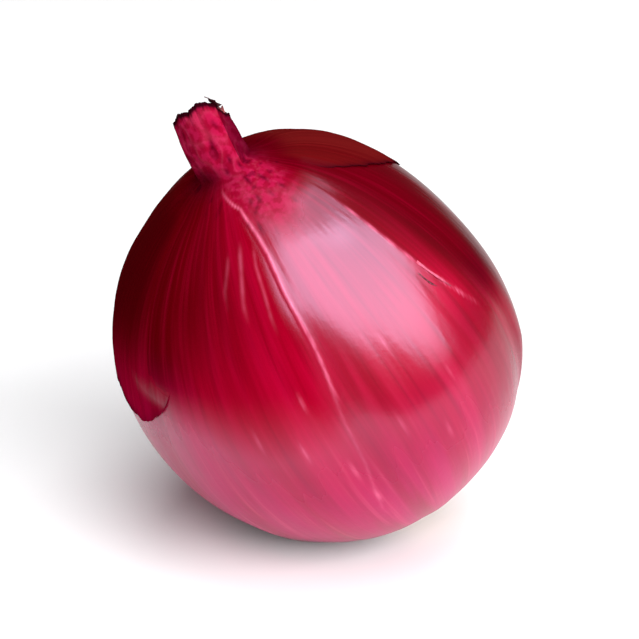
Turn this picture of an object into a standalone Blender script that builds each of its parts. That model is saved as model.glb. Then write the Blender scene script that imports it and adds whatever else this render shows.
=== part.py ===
"""A dried red onion: one bulb with its cut neck, and the root plate with its fringe and root stubs.

The bulb is a turned outline that formulas reshape in the bulb's own upright frame, root pole down
and neck up, with heights measured from the middle of the belly. An empty then leans that frame to
the left and to the front, as the onion lies on its small flat spot. Lengths are in metres.
"""

import math
import random

import bmesh
import bpy
import numpy as np
from mathutils import Matrix, Vector, noise

MM = 0.001

# How it lies: the lean to the left, the lean to the front, how deep the resting spot is pressed,
# and how high over the surface the skin outside the root end still comes down onto it
LEAN_LEFT = math.radians(31.0)
LEAN_FRONT = math.radians(8.6)
SPOT_DEPTH = 0.7 * MM
SPOT_REACH = 0.42 * MM
SURFACE_GAP = 0.2 * MM

# Bulb: half widths and heights, and how full the two halves are (2 is an ellipse)
BELLY_RADIUS = 29.4 * MM
ROOT_HEIGHT = 30.5 * MM
ROOT_FULLNESS = 2.06
SHOULDER_HEIGHT = 37.4 * MM
SHOULDER_FULLNESS = 1.85
BELLY_TILT = -0.091
LOBE_SIZE = 0.011
LOBE_ANGLE = math.radians(140)
TURN_STEPS = 96
LINE_POINTS = 800
RING_GAP = 2.6 * MM
SHOULDER_RING_GAP = 1.2 * MM
SHOULDER_RINGS_BELOW = 5.0 * MM

# Neck: a dried sheath, cut across, that leans away from the bulb's own axis
NECK_RADIUS = 4.25 * MM
NECK_TOP = 45.4 * MM
NECK_WALL = 0.8 * MM
NECK_HOLLOW = 3.2 * MM
CORE_RADIUS = 2.2 * MM
CORE_DROP = 1.2 * MM
CORE_TAPER = 0.7
NECK_FILLET = 2.9 * MM
FILLET_SWING = 2.1 * MM
FILLET_ANGLE = math.radians(332)
NECK_RING_GAP = 1.7 * MM
NECK_BEND = math.radians(34.5)
NECK_BEND_TOWARDS = math.radians(77)
NECK_BEND_START = 35.0 * MM
SHOULDER_SHIFT = (3.9 * MM, -4.7 * MM)
SHOULDER_SHIFT_START = 5.0 * MM
SHOULDER_SHIFT_END = 37.0 * MM
SHEATH_EDGE = math.radians(308)
SHEATH_STEP = 0.5 * MM
CREASES = ((7, 1.0, 0.16 * MM), (12, 2.0, 0.11 * MM))
RIM_WAVES = ((1, 3.3, 0.4 * MM), (2, math.pi, 0.7 * MM), (5, 5.7, 0.24 * MM), (9, 0.6, 0.16 * MM))
SPIKE_HEIGHT = 1.9 * MM
SPIKE_ANGLE = math.radians(75)
SPIKE_WIDTH = math.radians(9)

# Relief of the skin: it starts outside the root end's dimple and ends at the neck's foot.
# Waves round the bulb are written as count, phase and size.
RELIEF_STARTS = (9.0 * MM, 14.0 * MM)
RELIEF_ENDS = (31.0 * MM, 38.0 * MM)
NECK_STARTS = (33.0 * MM, 39.0 * MM)
RIBS = ((11, 0.6, 0.13 * MM), (17, 2.1, 0.09 * MM), (23, 4.0, 0.06 * MM))
RIDGE_ANGLE = math.radians(320)
RIDGE_SWEEP = math.radians(22)
RIDGE_SWEEP_CENTRE = 25.0 * MM
RIDGE_SWEEP_SPAN = 30.0 * MM
RIDGE_SIZE = 0.6 * MM
RIDGE_LOW_SHARE = 0.3
RIDGE_FADES = (-5.0 * MM, 14.0 * MM)
RIDGE_WIDTH = math.radians(9)
VEIN_ANGLE = math.radians(279)
VEIN_SIZE = 0.15 * MM
VEIN_WIDTH = math.radians(3)

# Outermost dry skin: it covers the back and the left, and ends in a torn edge
DRY_SKIN_THICKNESS = 0.35 * MM
DRY_SKIN_FRONT = math.radians(225)
DRY_SKIN_BACK = math.radians(8)
DRY_SKIN_EDGE = 2.5 * MM
DRY_SKIN_WAVES = ((2, 5.1, 5.0 * MM), (7, 5.7, 1.6 * MM))
DRY_SKIN_SOFTNESS = 1.8 * MM
DRY_SKIN_BLEND = 7.0
DRY_SKIN_BLEND_HEIGHTS = (12.0 * MM, 28.0 * MM)

# Root end: a shallow dimple with a socket, and the corky plate that sits in it
DIMPLE_DEPTH = 1.0 * MM
DIMPLE_INNER = 4.0 * MM
DIMPLE_OUTER = 10.0 * MM
SOCKET_RADIUS = 6.5 * MM
SOCKET_DEPTH = 1.5 * MM
FIT_GAP = 0.3 * MM
PLATE_CROWN = 1.1 * MM
PLATE_STEPS = 40
PLATE_RINGS = 5
PLATE_ROUNDING = 0.4 * MM
PLATE_BUMP = 1.1 * MM
PLATE_ROUGHNESS = 0.22 * MM

# Fringe: the pale pointed ends of the skins round the plate, as two star-shaped sheets
FRINGE_THICKNESS = 0.65 * MM
FRINGE_GAP = 0.38 * MM
FRINGE_VALLEY = 5.7 * MM
FRINGE_LAYERS = ((23, 9.2 * MM, 0.0), (17, 7.9 * MM, 0.45 * MM))
FRINGE_SPREAD = 0.9 * MM

# Root stubs on the plate
ROOT_COUNT = 42
ROOT_FIELD = 5.1 * MM
ROOT_SUNK = 0.7 * MM
ROOT_LENGTH = (1.3 * MM, 3.0 * MM)
ROOT_RADIUS = 0.42 * MM
ROOT_TAPER = 0.72
ROOT_POINTS = 4
ROOT_BOW = (0.1, 0.35)
ROOT_TILT = (4.0, 20.0)
ROOT_SPLAY = 26.0
SEED = 11


def srgb(red, green, blue):
    """A linear colour from its eight-bit values."""
    return [((value / 255 + 0.055) / 1.055) ** 2.4 for value in (red, green, blue)] + [1.0]


def material(name, colour, roughness):
    result = bpy.data.materials.new(name)
    result.use_nodes = True
    shader = result.node_tree.nodes["Principled BSDF"]
    shader.inputs["Base Color"].default_value = colour
    shader.inputs["Roughness"].default_value = roughness
    shader.inputs["Metallic"].default_value = 0.0
    return result


def collection(name):
    result = bpy.data.collections.new(name)
    bpy.context.scene.collection.children.link(result)
    return result


def smooth_step(low, high, value):
    t = np.clip((value - low) / (high - low), 0.0, 1.0)
    return t * t * (3.0 - 2.0 * t)


def angle_between(angle, centre):
    """The signed angle from centre to angle, between minus and plus half a turn."""
    return (angle - centre + math.pi) % (2.0 * math.pi) - math.pi


def lean_matrix():
    """Turns the upright frame so that the neck leans to minus X, then to minus Y."""
    return Matrix.Rotation(LEAN_FRONT, 4, "X") @ Matrix.Rotation(-LEAN_LEFT, 4, "Y")


def skin_radius(height, fillet):
    """Radius of the turned skin: two superellipse halves, blended into the neck's cylinder."""
    below = np.clip(1.0 - np.abs(np.minimum(height, 0.0) / ROOT_HEIGHT) ** ROOT_FULLNESS, 0.0, 1.0)
    above = np.clip(1.0 - np.abs(np.maximum(height, 0.0) / SHOULDER_HEIGHT) ** SHOULDER_FULLNESS, 0.0, 1.0)
    halves = np.where(height < 0.0, below ** (1.0 / ROOT_FULLNESS), above ** (1.0 / SHOULDER_FULLNESS))
    body = BELLY_RADIUS * halves
    overlap = np.maximum(fillet - np.abs(body - NECK_RADIUS), 0.0)
    joined = np.maximum(body, NECK_RADIUS) + overlap * overlap / (4.0 * fillet)
    return np.where(height > 0.0, joined, body)


def root_end_height(radius):
    """Height of the skin at a radius near the root pole, with its dimple."""
    shell = -ROOT_HEIGHT * (1.0 - (radius / BELLY_RADIUS) ** ROOT_FULLNESS) ** (1.0 / ROOT_FULLNESS)
    return shell + DIMPLE_DEPTH * (1.0 - smooth_step(DIMPLE_INNER, DIMPLE_OUTER, radius))


def resampled(radii, heights, gap):
    """Points at equal steps of about gap along a line that is given by close points."""
    steps = np.hypot(np.diff(radii), np.diff(heights))
    length = np.concatenate([[0.0], np.cumsum(steps)])
    at = np.linspace(0.0, length[-1], max(2, round(length[-1] / gap) + 1))
    return list(zip(np.interp(at, length, radii), np.interp(at, length, heights)))


def bulb_outline():
    """From the neck's core on the axis over the rim, down the skin and into the root socket."""
    inner = NECK_RADIUS - NECK_WALL
    floor = NECK_TOP - NECK_HOLLOW
    core_top = NECK_TOP - CORE_DROP
    hollow = [(0.0, core_top), (CORE_RADIUS * CORE_TAPER, core_top), (CORE_RADIUS, floor),
              (inner, floor), (inner, (floor + NECK_TOP) / 2.0), (inner, NECK_TOP)]
    neck_foot = SHOULDER_HEIGHT + NECK_FILLET / 2.0
    neck_heights = np.linspace(NECK_TOP, neck_foot, LINE_POINTS)
    neck = resampled(skin_radius(neck_heights, NECK_FILLET), neck_heights, NECK_RING_GAP)
    shoulder_heights = np.linspace(neck_foot, neck_foot - SHOULDER_RINGS_BELOW, LINE_POINTS)
    shoulder = resampled(skin_radius(shoulder_heights, NECK_FILLET), shoulder_heights, SHOULDER_RING_GAP)
    turn = np.linspace(0.0, math.pi / 2.0, LINE_POINTS)
    upper_heights = shoulder_heights[-1] * np.cos(turn)
    upper = skin_radius(upper_heights, NECK_FILLET)
    lower_radii = BELLY_RADIUS - (BELLY_RADIUS - SOCKET_RADIUS) * (1.0 - np.cos(turn))
    lower_heights = root_end_height(lower_radii)
    skin = resampled(np.concatenate([upper, lower_radii[1:]]),
                     np.concatenate([upper_heights, lower_heights[1:]]), RING_GAP)
    socket_floor = lower_heights[-1] + SOCKET_DEPTH
    socket = [(SOCKET_RADIUS, socket_floor), (0.0, socket_floor)]
    return hollow + neck + shoulder[1:] + skin[1:] + socket


def frozen(source, name):
    """A new object that holds the source's finished mesh; the source is removed."""
    evaluated = source.evaluated_get(bpy.context.evaluated_depsgraph_get())
    mesh = bpy.data.meshes.new_from_object(evaluated)
    bpy.data.objects.remove(source)
    mesh.name = name
    return bpy.data.objects.new(name, mesh)


def turned(name, outline, steps):
    """A closed body turned round Z from an outline of radius and height, top to bottom."""
    mesh = bpy.data.meshes.new(name + "_outline")
    mesh.from_pydata([(radius, 0.0, height) for radius, height in outline],
                     [(i, i + 1) for i in range(len(outline) - 1)], [])
    line = bpy.data.objects.new(name + "_outline", mesh)
    bpy.context.scene.collection.objects.link(line)
    screw = line.modifiers.new("Turn", "SCREW")
    screw.axis = "Z"
    screw.angle = 2.0 * math.pi
    screw.steps = steps
    screw.render_steps = steps
    screw.use_merge_vertices = True
    screw.merge_threshold = 0.00001
    return frozen(line, name)


def reshape(thing, rule):
    """Moves each point of a mesh by a rule that takes and gives an array of points."""
    points = np.empty(len(thing.data.vertices) * 3)
    thing.data.vertices.foreach_get("co", points)
    thing.data.vertices.foreach_set("co", rule(points.reshape(-1, 3)).ravel())
    thing.data.update()


def waves(table, angle):
    """The sum of cosines round the bulb that a table gives by count, phase and size."""
    return sum(size * np.cos(count * angle + phase) for count, phase, size in table)


def skin_relief(angle, height):
    """Lengthwise ribs, the ridge on the right, the main vein and the step of the dry skin."""
    relief = waves(RIBS, angle)
    sweep = RIDGE_SWEEP * ((height - RIDGE_SWEEP_CENTRE) / RIDGE_SWEEP_SPAN) ** 2
    ridge = np.exp(-np.abs(angle_between(angle, RIDGE_ANGLE + sweep)) / RIDGE_WIDTH)
    strength = RIDGE_LOW_SHARE + (1.0 - RIDGE_LOW_SHARE) * smooth_step(*RIDGE_FADES, height)
    relief += RIDGE_SIZE * strength * ridge
    relief += VEIN_SIZE * np.exp(-(angle_between(angle, VEIN_ANGLE) / VEIN_WIDTH) ** 2)
    return relief + DRY_SKIN_THICKNESS * dry_skin(angle, height)


def dry_skin(angle, height):
    """How much of the outermost skin is there, from 0 to 1: above a wavy edge, back and left."""
    edge = DRY_SKIN_EDGE + waves(DRY_SKIN_WAVES, angle)
    above = smooth_step(-DRY_SKIN_SOFTNESS, DRY_SKIN_SOFTNESS, height - edge)
    blend = 1.0 + DRY_SKIN_BLEND * smooth_step(*DRY_SKIN_BLEND_HEIGHTS, height)
    soft = blend * DRY_SKIN_SOFTNESS / BELLY_RADIUS
    middle = (DRY_SKIN_BACK + DRY_SKIN_FRONT) / 2.0
    half = (DRY_SKIN_FRONT - DRY_SKIN_BACK) / 2.0
    beside = 1.0 - smooth_step(half - soft, half + soft, np.abs(angle_between(angle, middle)))
    return above * beside


def neck_relief(angle):
    """Creases of the neck, and its sheath wound once round with a free edge on the right."""
    turn_to_edge = ((SHEATH_EDGE - angle) % (2.0 * math.pi)) / (2.0 * math.pi)
    return waves(CREASES, angle) + SHEATH_STEP * (0.5 - turn_to_edge)


def rim_offset(angle):
    """Ragged height of the cut rim, with one curled spike."""
    spike = np.exp(-(angle_between(angle, SPIKE_ANGLE) / SPIKE_WIDTH) ** 2)
    return waves(RIM_WAVES, angle) + SPIKE_HEIGHT * spike


def bent_neck(points, height):
    """Turns each ring above the bend's start with the neck's curved middle line."""
    towards = np.array([math.cos(NECK_BEND_TOWARDS), math.sin(NECK_BEND_TOWARDS)])
    curl = NECK_BEND / (NECK_TOP - NECK_BEND_START)
    beta = curl * np.maximum(height - NECK_BEND_START, 0.0)
    along = points[:, :2] @ towards
    middle = (1.0 - np.cos(beta)) / curl
    moved = middle + along * np.cos(beta) - along
    lifted = np.where(beta > 0.0, NECK_BEND_START + np.sin(beta) / curl - height, 0.0)
    return np.column_stack([points[:, :2] + moved[:, None] * towards,
                            points[:, 2] + lifted - along * np.sin(beta)])


def bulb_shape(points):
    """The turned bulb's points with relief, neck, lobes, tilted belly and bent neck."""
    angle = np.arctan2(points[:, 1], points[:, 0]) % (2.0 * math.pi)
    radius = np.hypot(points[:, 0], points[:, 1])
    height = points[:, 2]
    skin = skin_radius(height, NECK_FILLET)
    on_skin = radius > skin - 0.01 * MM
    fillet = NECK_FILLET + FILLET_SWING * np.cos(angle - FILLET_ANGLE)
    shaped = radius + np.where(on_skin, skin_radius(height, fillet) - skin, 0.0)
    on_root_end = smooth_step(*RELIEF_STARTS, radius)
    on_body = np.where(height < 0.0, on_root_end, 1.0 - smooth_step(*RELIEF_ENDS, height))
    in_wall = smooth_step(CORE_RADIUS, NECK_RADIUS - NECK_WALL, radius)
    on_neck = in_wall * smooth_step(*NECK_STARTS, height)
    shaped += on_body * skin_relief(angle, height) + on_neck * neck_relief(angle)
    belly = np.clip(shaped / BELLY_RADIUS, 0.0, 1.0) ** 2
    lobed = shaped * (1.0 + belly * LOBE_SIZE * np.cos(2.0 * (angle - LOBE_ANGLE)))
    rim = smooth_step(NECK_TOP - NECK_HOLLOW, NECK_TOP, height) * on_neck
    x = lobed * np.cos(angle)
    y = lobed * np.sin(angle)
    upright = np.column_stack([x, y, height + BELLY_TILT * x * belly + rim * rim_offset(angle)])
    bent = bent_neck(upright, height)
    shift = np.clip((height - SHOULDER_SHIFT_START) / (SHOULDER_SHIFT_END - SHOULDER_SHIFT_START), 0.0, 1.0)
    bent[:, :2] += (shift * shift)[:, None] * np.array(SHOULDER_SHIFT)
    return bent


def resting_height(points):
    """How high the belly's middle lies over the surface when the lowest point is pressed flat."""
    lean = np.array(lean_matrix().to_3x3())
    return -(points @ lean.T)[:, 2].min() - SPOT_DEPTH


def pressed_flat(points, height):
    """The points with those under the surface, or close over it, brought onto it."""
    lean = np.array(lean_matrix().to_3x3())
    reach = np.where(np.hypot(points[:, 0], points[:, 1]) > DIMPLE_OUTER, SPOT_REACH, 0.0)
    standing = points @ lean.T
    standing[:, 2] = np.where(standing[:, 2] + height < reach, -height, standing[:, 2])
    return standing @ lean


def bulb(parts, pose):
    body = turned("bulb", bulb_outline(), TURN_STEPS)
    reshape(body, bulb_shape)
    points = np.array([vertex.co for vertex in body.data.vertices])
    height = resting_height(points)
    reshape(body, lambda upright: pressed_flat(upright, height))
    pose.matrix_world = Matrix.Translation((0.0, 0.0, height)) @ lean_matrix()
    finish(body, parts, pose, material("red_skin", srgb(150, 18, 58), 0.35))
    return height


def finish(thing, parts, pose, look):
    thing.data.materials.clear()
    thing.data.materials.append(look)
    thing.data.shade_smooth()
    thing.data.set_sharp_from_angle(angle=math.radians(40))
    parts.objects.link(thing)
    thing.parent = pose


def plate_disc():
    """The corky disc: a low dome with an uneven face, down to the socket's floor."""
    rim = SOCKET_RADIUS - FIT_GAP
    face = float(root_end_height(SOCKET_RADIUS)) - FRINGE_THICKNESS
    back = float(root_end_height(SOCKET_RADIUS)) + SOCKET_DEPTH - FIT_GAP
    shares = [1.0 - PLATE_ROUNDING / rim] + [step / PLATE_RINGS for step in range(PLATE_RINGS - 1, -1, -1)]
    dome = [(rim * share, face - PLATE_CROWN * (1.0 - share * share)) for share in shares]
    outline = [(0.0, back), (rim, back), (rim, face + PLATE_ROUNDING)] + dome
    disc = turned("root_plate", outline, PLATE_STEPS)

    def corky(points):
        on_dome = points[:, 2] < face + PLATE_ROUNDING / 2.0
        bumps = np.array([noise.noise(Vector(point) / PLATE_BUMP) for point in points])
        points[:, 2] += np.where(on_dome, PLATE_ROUGHNESS * bumps, 0.0)
        return points

    reshape(disc, corky)
    return disc


def reach_limit(direction, lift):
    """How far a point that is lift over the surface may go along a direction and stay clear of it."""
    fall = -(lean_matrix().to_3x3() @ direction).z
    spare = lift - SURFACE_GAP
    return spare / fall if fall > 0.0 else math.inf


def height_over_surface(point, height):
    return height + (lean_matrix().to_3x3() @ Vector(point)).z


def fringe_star(teeth, reach, drop, draw, height):
    """A star-shaped sheet on the skin round the plate, its points cut short over the surface."""
    under = float(root_end_height(SOCKET_RADIUS)) - FRINGE_GAP - drop
    star = bmesh.new()
    bmesh.ops.create_circle(star, cap_ends=True, cap_tris=True, segments=2 * teeth, radius=FRINGE_VALLEY)
    star.verts.ensure_lookup_table()
    rim = sorted((v for v in star.verts if v.co.length > FRINGE_VALLEY / 2.0),
                 key=lambda v: math.atan2(v.co.y, v.co.x))
    for index, vertex in enumerate(rim):
        outward = vertex.co.normalized()
        if index % 2:
            start = Vector((0.0, 0.0, under - FRINGE_THICKNESS))
            limit = reach_limit(outward, height_over_surface(start, height))
            vertex.co = outward * min(reach - draw.random() * FRINGE_SPREAD, limit)
    for vertex in star.verts:
        vertex.co.z = under
    bmesh.ops.recalc_face_normals(star, faces=star.faces)
    mesh = bpy.data.meshes.new("fringe")
    star.to_mesh(mesh)
    star.free()
    sheet = bpy.data.objects.new("fringe", mesh)
    solid = sheet.modifiers.new("Sheet", "SOLIDIFY")
    solid.thickness = FRINGE_THICKNESS
    solid.offset = -1.0 if mesh.polygons[0].normal.z > 0.0 else 1.0
    return sheet


def root_stub(index, draw, height):
    """One dried root: a bent, tapered tube that starts inside the plate."""
    spread = math.sqrt((index + 0.5) / ROOT_COUNT)
    turn = index * math.pi * (3.0 - math.sqrt(5.0)) + draw.uniform(-0.2, 0.2)
    outward = Vector((math.cos(turn), math.sin(turn), 0.0))
    face = float(root_end_height(SOCKET_RADIUS)) - FRINGE_THICKNESS - PLATE_CROWN * (1.0 - spread * spread)
    foot = outward * ROOT_FIELD * spread + Vector((0.0, 0.0, face + ROOT_SUNK))
    tilt = math.radians(draw.uniform(*ROOT_TILT) + ROOT_SPLAY * spread)
    aim = (outward * math.sin(tilt) - Vector((0.0, 0.0, math.cos(tilt)))).normalized()
    limit = reach_limit(aim, height_over_surface(foot, height) - ROOT_RADIUS)
    length = min(ROOT_SUNK + draw.uniform(*ROOT_LENGTH), limit)
    side = aim.orthogonal().normalized()
    side.rotate(Matrix.Rotation(draw.uniform(0.0, 2.0 * math.pi), 3, aim))
    bow = draw.uniform(*ROOT_BOW) * length
    curve = bpy.data.curves.new("root", "CURVE")
    curve.dimensions = "3D"
    curve.bevel_depth = ROOT_RADIUS
    curve.bevel_resolution = 1
    curve.use_fill_caps = True
    line = curve.splines.new("POLY")
    line.points.add(ROOT_POINTS - 1)
    for step, point in enumerate(line.points):
        t = step / (ROOT_POINTS - 1)
        place = foot + aim * length * t + side * bow * 4.0 * t * (1.0 - t) * t
        point.co = (*place, 1.0)
        point.radius = 1.0 - (1.0 - ROOT_TAPER) * t
    return bpy.data.objects.new("root", curve)


def root_plate(parts, pose, height):
    draw = random.Random(SEED)
    plate = plate_disc()
    bpy.context.scene.collection.objects.link(plate)
    added = collection("root_pieces")
    for teeth, reach, drop in FRINGE_LAYERS:
        added.objects.link(fringe_star(teeth, reach, drop, draw, height))
    for index in range(ROOT_COUNT):
        line = root_stub(index, draw, height)
        bpy.context.scene.collection.objects.link(line)
        bpy.context.view_layer.update()
        tube = frozen(line, "root")
        weld = bmesh.new()
        weld.from_mesh(tube.data)
        bmesh.ops.remove_doubles(weld, verts=weld.verts, dist=0.001 * MM)
        bmesh.ops.recalc_face_normals(weld, faces=weld.faces)
        weld.to_mesh(tube.data)
        weld.free()
        added.objects.link(tube)
    union = plate.modifiers.new("Joined", "BOOLEAN")
    union.operation = "UNION"
    union.operand_type = "COLLECTION"
    union.collection = added
    union.solver = "EXACT"
    bpy.context.view_layer.update()
    joined = frozen(plate, "root_plate")
    for piece in list(added.objects):
        bpy.data.objects.remove(piece)
    bpy.data.collections.remove(added)
    finish(joined, parts, pose, material("root_tan", srgb(205, 175, 120), 0.8))


def main():
    for thing in list(bpy.data.objects):
        bpy.data.objects.remove(thing)
    parts = collection("onion")
    pose = bpy.data.objects.new("onion_pose", None)
    parts.objects.link(pose)
    height = bulb(parts, pose)
    bpy.context.view_layer.update()
    root_plate(parts, pose, height)


main()
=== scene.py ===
from math import cos, pi, radians, sin, sqrt

import bpy
import numpy as np
from mathutils import Matrix, Vector


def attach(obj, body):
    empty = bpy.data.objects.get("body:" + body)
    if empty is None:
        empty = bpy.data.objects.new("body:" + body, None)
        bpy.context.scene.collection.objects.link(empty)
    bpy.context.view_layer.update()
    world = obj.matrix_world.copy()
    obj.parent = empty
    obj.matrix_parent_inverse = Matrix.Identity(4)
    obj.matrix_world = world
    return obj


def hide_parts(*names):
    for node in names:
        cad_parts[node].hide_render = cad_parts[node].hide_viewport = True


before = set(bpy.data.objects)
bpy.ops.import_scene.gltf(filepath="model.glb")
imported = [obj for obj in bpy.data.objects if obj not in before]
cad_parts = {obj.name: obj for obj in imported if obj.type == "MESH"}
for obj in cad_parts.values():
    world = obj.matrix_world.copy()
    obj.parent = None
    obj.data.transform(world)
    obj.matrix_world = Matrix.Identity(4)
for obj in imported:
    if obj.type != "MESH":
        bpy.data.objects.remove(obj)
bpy.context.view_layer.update()        # nodes bulb and root_plate, both on the body root
print("onion: frame loaded")

# Shapes are in millimetres in the bulb's own upright frame: root pole down, neck up, heights from
# the middle of the belly. Angles in degrees round it grow to the right and face the camera at 270.
# placed() lays it all down.
millimetre = 0.001
fullTurn = 2.0 * pi

lying = {"leanLeft": 31, "leanFront": 8.6, "bellyHeight": 29.481}

bulb = {
    "bellyRadius": 29.4, "rootHeight": 30.5, "rootFullness": 2.06,
    "shoulderHeight": 37.4, "shoulderFullness": 1.85, "bellyTilt": -0.091,
    "lobeSize": 0.011, "lobeAngle": 140, "dimpleDepth": 1, "dimpleEdge": (4, 10),
    "neckRadius": 4.25, "neckTop": 45.4, "neckFillet": 2.9, "filletLow": 0.9, "filletWide": (340, 52, 4.3),
    "neckBend": 34.5, "bendTowards": 77, "bendStart": 35,
    "shift": (3.9, -4.7), "shiftRise": (5, 37),
}


# Small tools for shapes

def rising(limits, value):
    # 0 below the lower limit, 1 above the upper one, an even S between
    low, high = limits
    t = np.clip((value - low) / (high - low), 0.0, 1.0)
    return t * t * (3.0 - 2.0 * t)


def falling(limits, value):
    return 1.0 - rising(limits, value)


def unit(vectors):
    return vectors / np.linalg.norm(vectors, axis=-1, keepdims=True)


def angleBetween(angle, centre):
    # signed turn from centre to angle in radians, between minus and plus half a turn
    return (angle - centre + pi) % fullTurn - pi


def bell(off, width):
    return np.exp(-(off / width) ** 2)


def bellRound(angle, row):
    # a bell round the bulb; the row gives its middle and half width in degrees, and its size
    middle, width, size = row
    return size * bell(angleBetween(angle, radians(middle)), radians(width))


def waveSum(table, angle):
    # sum of size * cos(count * angle + phase) over the rows of a table
    return sum(size * np.cos(count * angle + phase) for count, phase, size in table)


def randomWaves(x, y, z, seed, count=30):
    # many cosine waves of random direction added up: mean 0, spread 1, one wave length of 2 pi
    draw = np.random.default_rng(seed)
    directions = unit(draw.normal(size=(count, 3)))
    phases = draw.uniform(0.0, fullTurn, count)
    total = 0.0
    for (a, b, c), phase in zip(directions, phases):
        total = total + np.cos(a * x + b * y + c * z + phase)
    return total * sqrt(2.0 / count)


def roundWaves(angle, height, lowest, highest, seed, count=26, drift=0.01):
    # cosine waves round the bulb with random whole counts and a phase that drifts with height
    draw = np.random.default_rng(seed)
    total = 0.0
    for turns in draw.integers(lowest, highest, count):
        wander = drift * turns * draw.normal()
        total = total + np.cos(turns * angle + draw.uniform(0.0, fullTurn) + wander * height)
    return total * sqrt(2.0 / count)


def runningSum(steps):
    return np.concatenate([[0.0], np.cumsum(steps)])


def pathLine(table, height):
    # angle in radians of a line down the skin, from its (angle, height) points, heights falling
    angles, heights = np.radians([row[0] for row in table]), [row[1] for row in table]
    return np.interp(-height, [-h for h in heights], angles)


# The bulb's form, the same formulas as in the solids

def skinRadius(height, fillet=bulb["neckFillet"]):
    # two superellipse halves, blended into the neck's cylinder over a fillet
    size = np.where(height < 0.0, bulb["rootHeight"], bulb["shoulderHeight"])
    fullness = np.where(height < 0.0, bulb["rootFullness"], bulb["shoulderFullness"])
    share = np.clip(1.0 - np.abs(height / size) ** fullness, 0.0, 1.0)
    body = bulb["bellyRadius"] * share ** (1.0 / fullness)
    overlap = np.maximum(fillet - np.abs(body - bulb["neckRadius"]), 0.0)
    blended = np.maximum(body, bulb["neckRadius"]) + overlap ** 2 / (4.0 * fillet)
    return np.where(height > 0.0, blended, body)


def skinOutward(height):
    # radius and height parts of the direction straight out of the turned skin
    slope = (skinRadius(height + 0.1) - skinRadius(height - 0.1)) / 0.2
    size = np.sqrt(1.0 + slope ** 2)
    return 1.0 / size, -slope / size


def rootEndHeight(radius):
    # height of the lower half at a radius, with the dimple pushed up in its middle
    share = np.clip(1.0 - (radius / bulb["bellyRadius"]) ** bulb["rootFullness"], 0.0, 1.0)
    dimple = bulb["dimpleDepth"] * falling(bulb["dimpleEdge"], radius)
    return dimple - bulb["rootHeight"] * share ** (1.0 / bulb["rootFullness"])


def placed(angle, radius, height, rise=0.0):
    # polar place on the upright bulb: lobes and tilted belly, neck bent along an arc, shoulder
    # pushed aside by a squared ramp, then leaned to the left and to the front and lifted
    belly = np.clip(radius / bulb["bellyRadius"], 0.0, 1.0) ** 2
    lobes = bulb["lobeSize"] * np.cos(2.0 * (angle - radians(bulb["lobeAngle"])))
    lobed = radius * (1.0 + belly * lobes)
    x, y = lobed * np.cos(angle), lobed * np.sin(angle)
    z = height + bulb["bellyTilt"] * x * belly + rise
    towardsX, towardsY = (f(radians(bulb["bendTowards"])) for f in (cos, sin))
    curl = radians(bulb["neckBend"]) / (bulb["neckTop"] - bulb["bendStart"])
    turn = curl * np.maximum(height - bulb["bendStart"], 0.0)
    along = x * towardsX + y * towardsY
    moved = (1.0 - np.cos(turn)) / curl + along * (np.cos(turn) - 1.0)
    start, end = bulb["shiftRise"]
    ramp = np.clip((height - start) / (end - start), 0.0, 1.0) ** 2
    lifted = np.where(turn > 0.0, bulb["bendStart"] + np.sin(turn) / curl - height, 0.0)
    upright = np.stack(np.broadcast_arrays(
        x + moved * towardsX + ramp * bulb["shift"][0],
        y + moved * towardsY + ramp * bulb["shift"][1],
        z + lifted - along * np.sin(turn)), -1)
    lean = Matrix.Rotation(radians(lying["leanFront"]), 3, "X") @ Matrix.Rotation(
        -radians(lying["leanLeft"]), 3, "Y")
    return upright @ np.array(lean).T + np.array([0.0, 0.0, lying["bellyHeight"]])


# Mesh making

def tubeFaces(rings, columns):
    # quads between rings of points and fans to the two end points, which follow the rings
    i, j = np.arange(rings - 1)[:, None] * columns, np.arange(columns)
    k = (j + 1) % columns
    quads = np.stack([i + j, i + k, i + columns + k, i + columns + j], -1).reshape(-1, 4)
    last = (rings - 1) * columns
    first, second = (np.full(columns, rings * columns + n) for n in (0, 1))
    return quads, np.concatenate([np.stack([first, k, j], -1), np.stack([second, last + j, last + k], -1)])


def shellFaces(rows, columns):
    # quads of a closed sheet: its outer rows, then its inner rows backwards, and both ends
    row, j = np.arange(2 * rows)[:, None], np.arange(columns - 1)
    i, k = row * columns + j, (row + 1) % (2 * rows) * columns + j
    sides = np.stack([i, i + 1, k + 1, k], -1).reshape(-1, 4)
    s = np.arange(rows - 1)
    ends = np.stack([s, s + 1, 2 * rows - 2 - s, 2 * rows - 1 - s], -1) * columns
    return np.concatenate([sides, ends, ends[:, ::-1] + columns - 1])


def tubes(paths, upward, widths, depths, sides):
    # a flattened tube round each path: an ellipse of half width and half depth, square to the
    # path, its depth along the upward direction; a point closes each end
    count, steps = paths.shape[:2]
    along = np.gradient(paths, axis=1)
    across = unit(np.cross(upward, along))
    over = unit(np.cross(along, across))
    turn = np.arange(sides) / sides * fullTurn
    rings = (paths[:, :, None] + across[:, :, None] * (widths[..., None] * np.cos(turn))[..., None]
             + over[:, :, None] * (depths[..., None] * np.sin(turn))[..., None])
    points = np.concatenate([rings.reshape(count, -1, 3), paths[:, :1], paths[:, -1:]], axis=1)
    shift = (np.arange(count) * (steps * sides + 2))[:, None, None]
    quads, triangles = ((faces + shift).reshape(-1, faces.shape[1]) for faces in tubeFaces(steps, sides))
    return points.reshape(-1, 3), quads, triangles


def tubeMarks(values, sides):
    # one value for each step of each path, given to its ring, and to its point at the ends
    rings = np.repeat(values, sides, axis=1)
    return np.concatenate([rings, values[:, :1], values[:, -1:]], axis=1).ravel()


def addObject(name, data):
    made = bpy.data.objects.new(name, data)
    bpy.context.scene.collection.objects.link(made)
    return made


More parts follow.
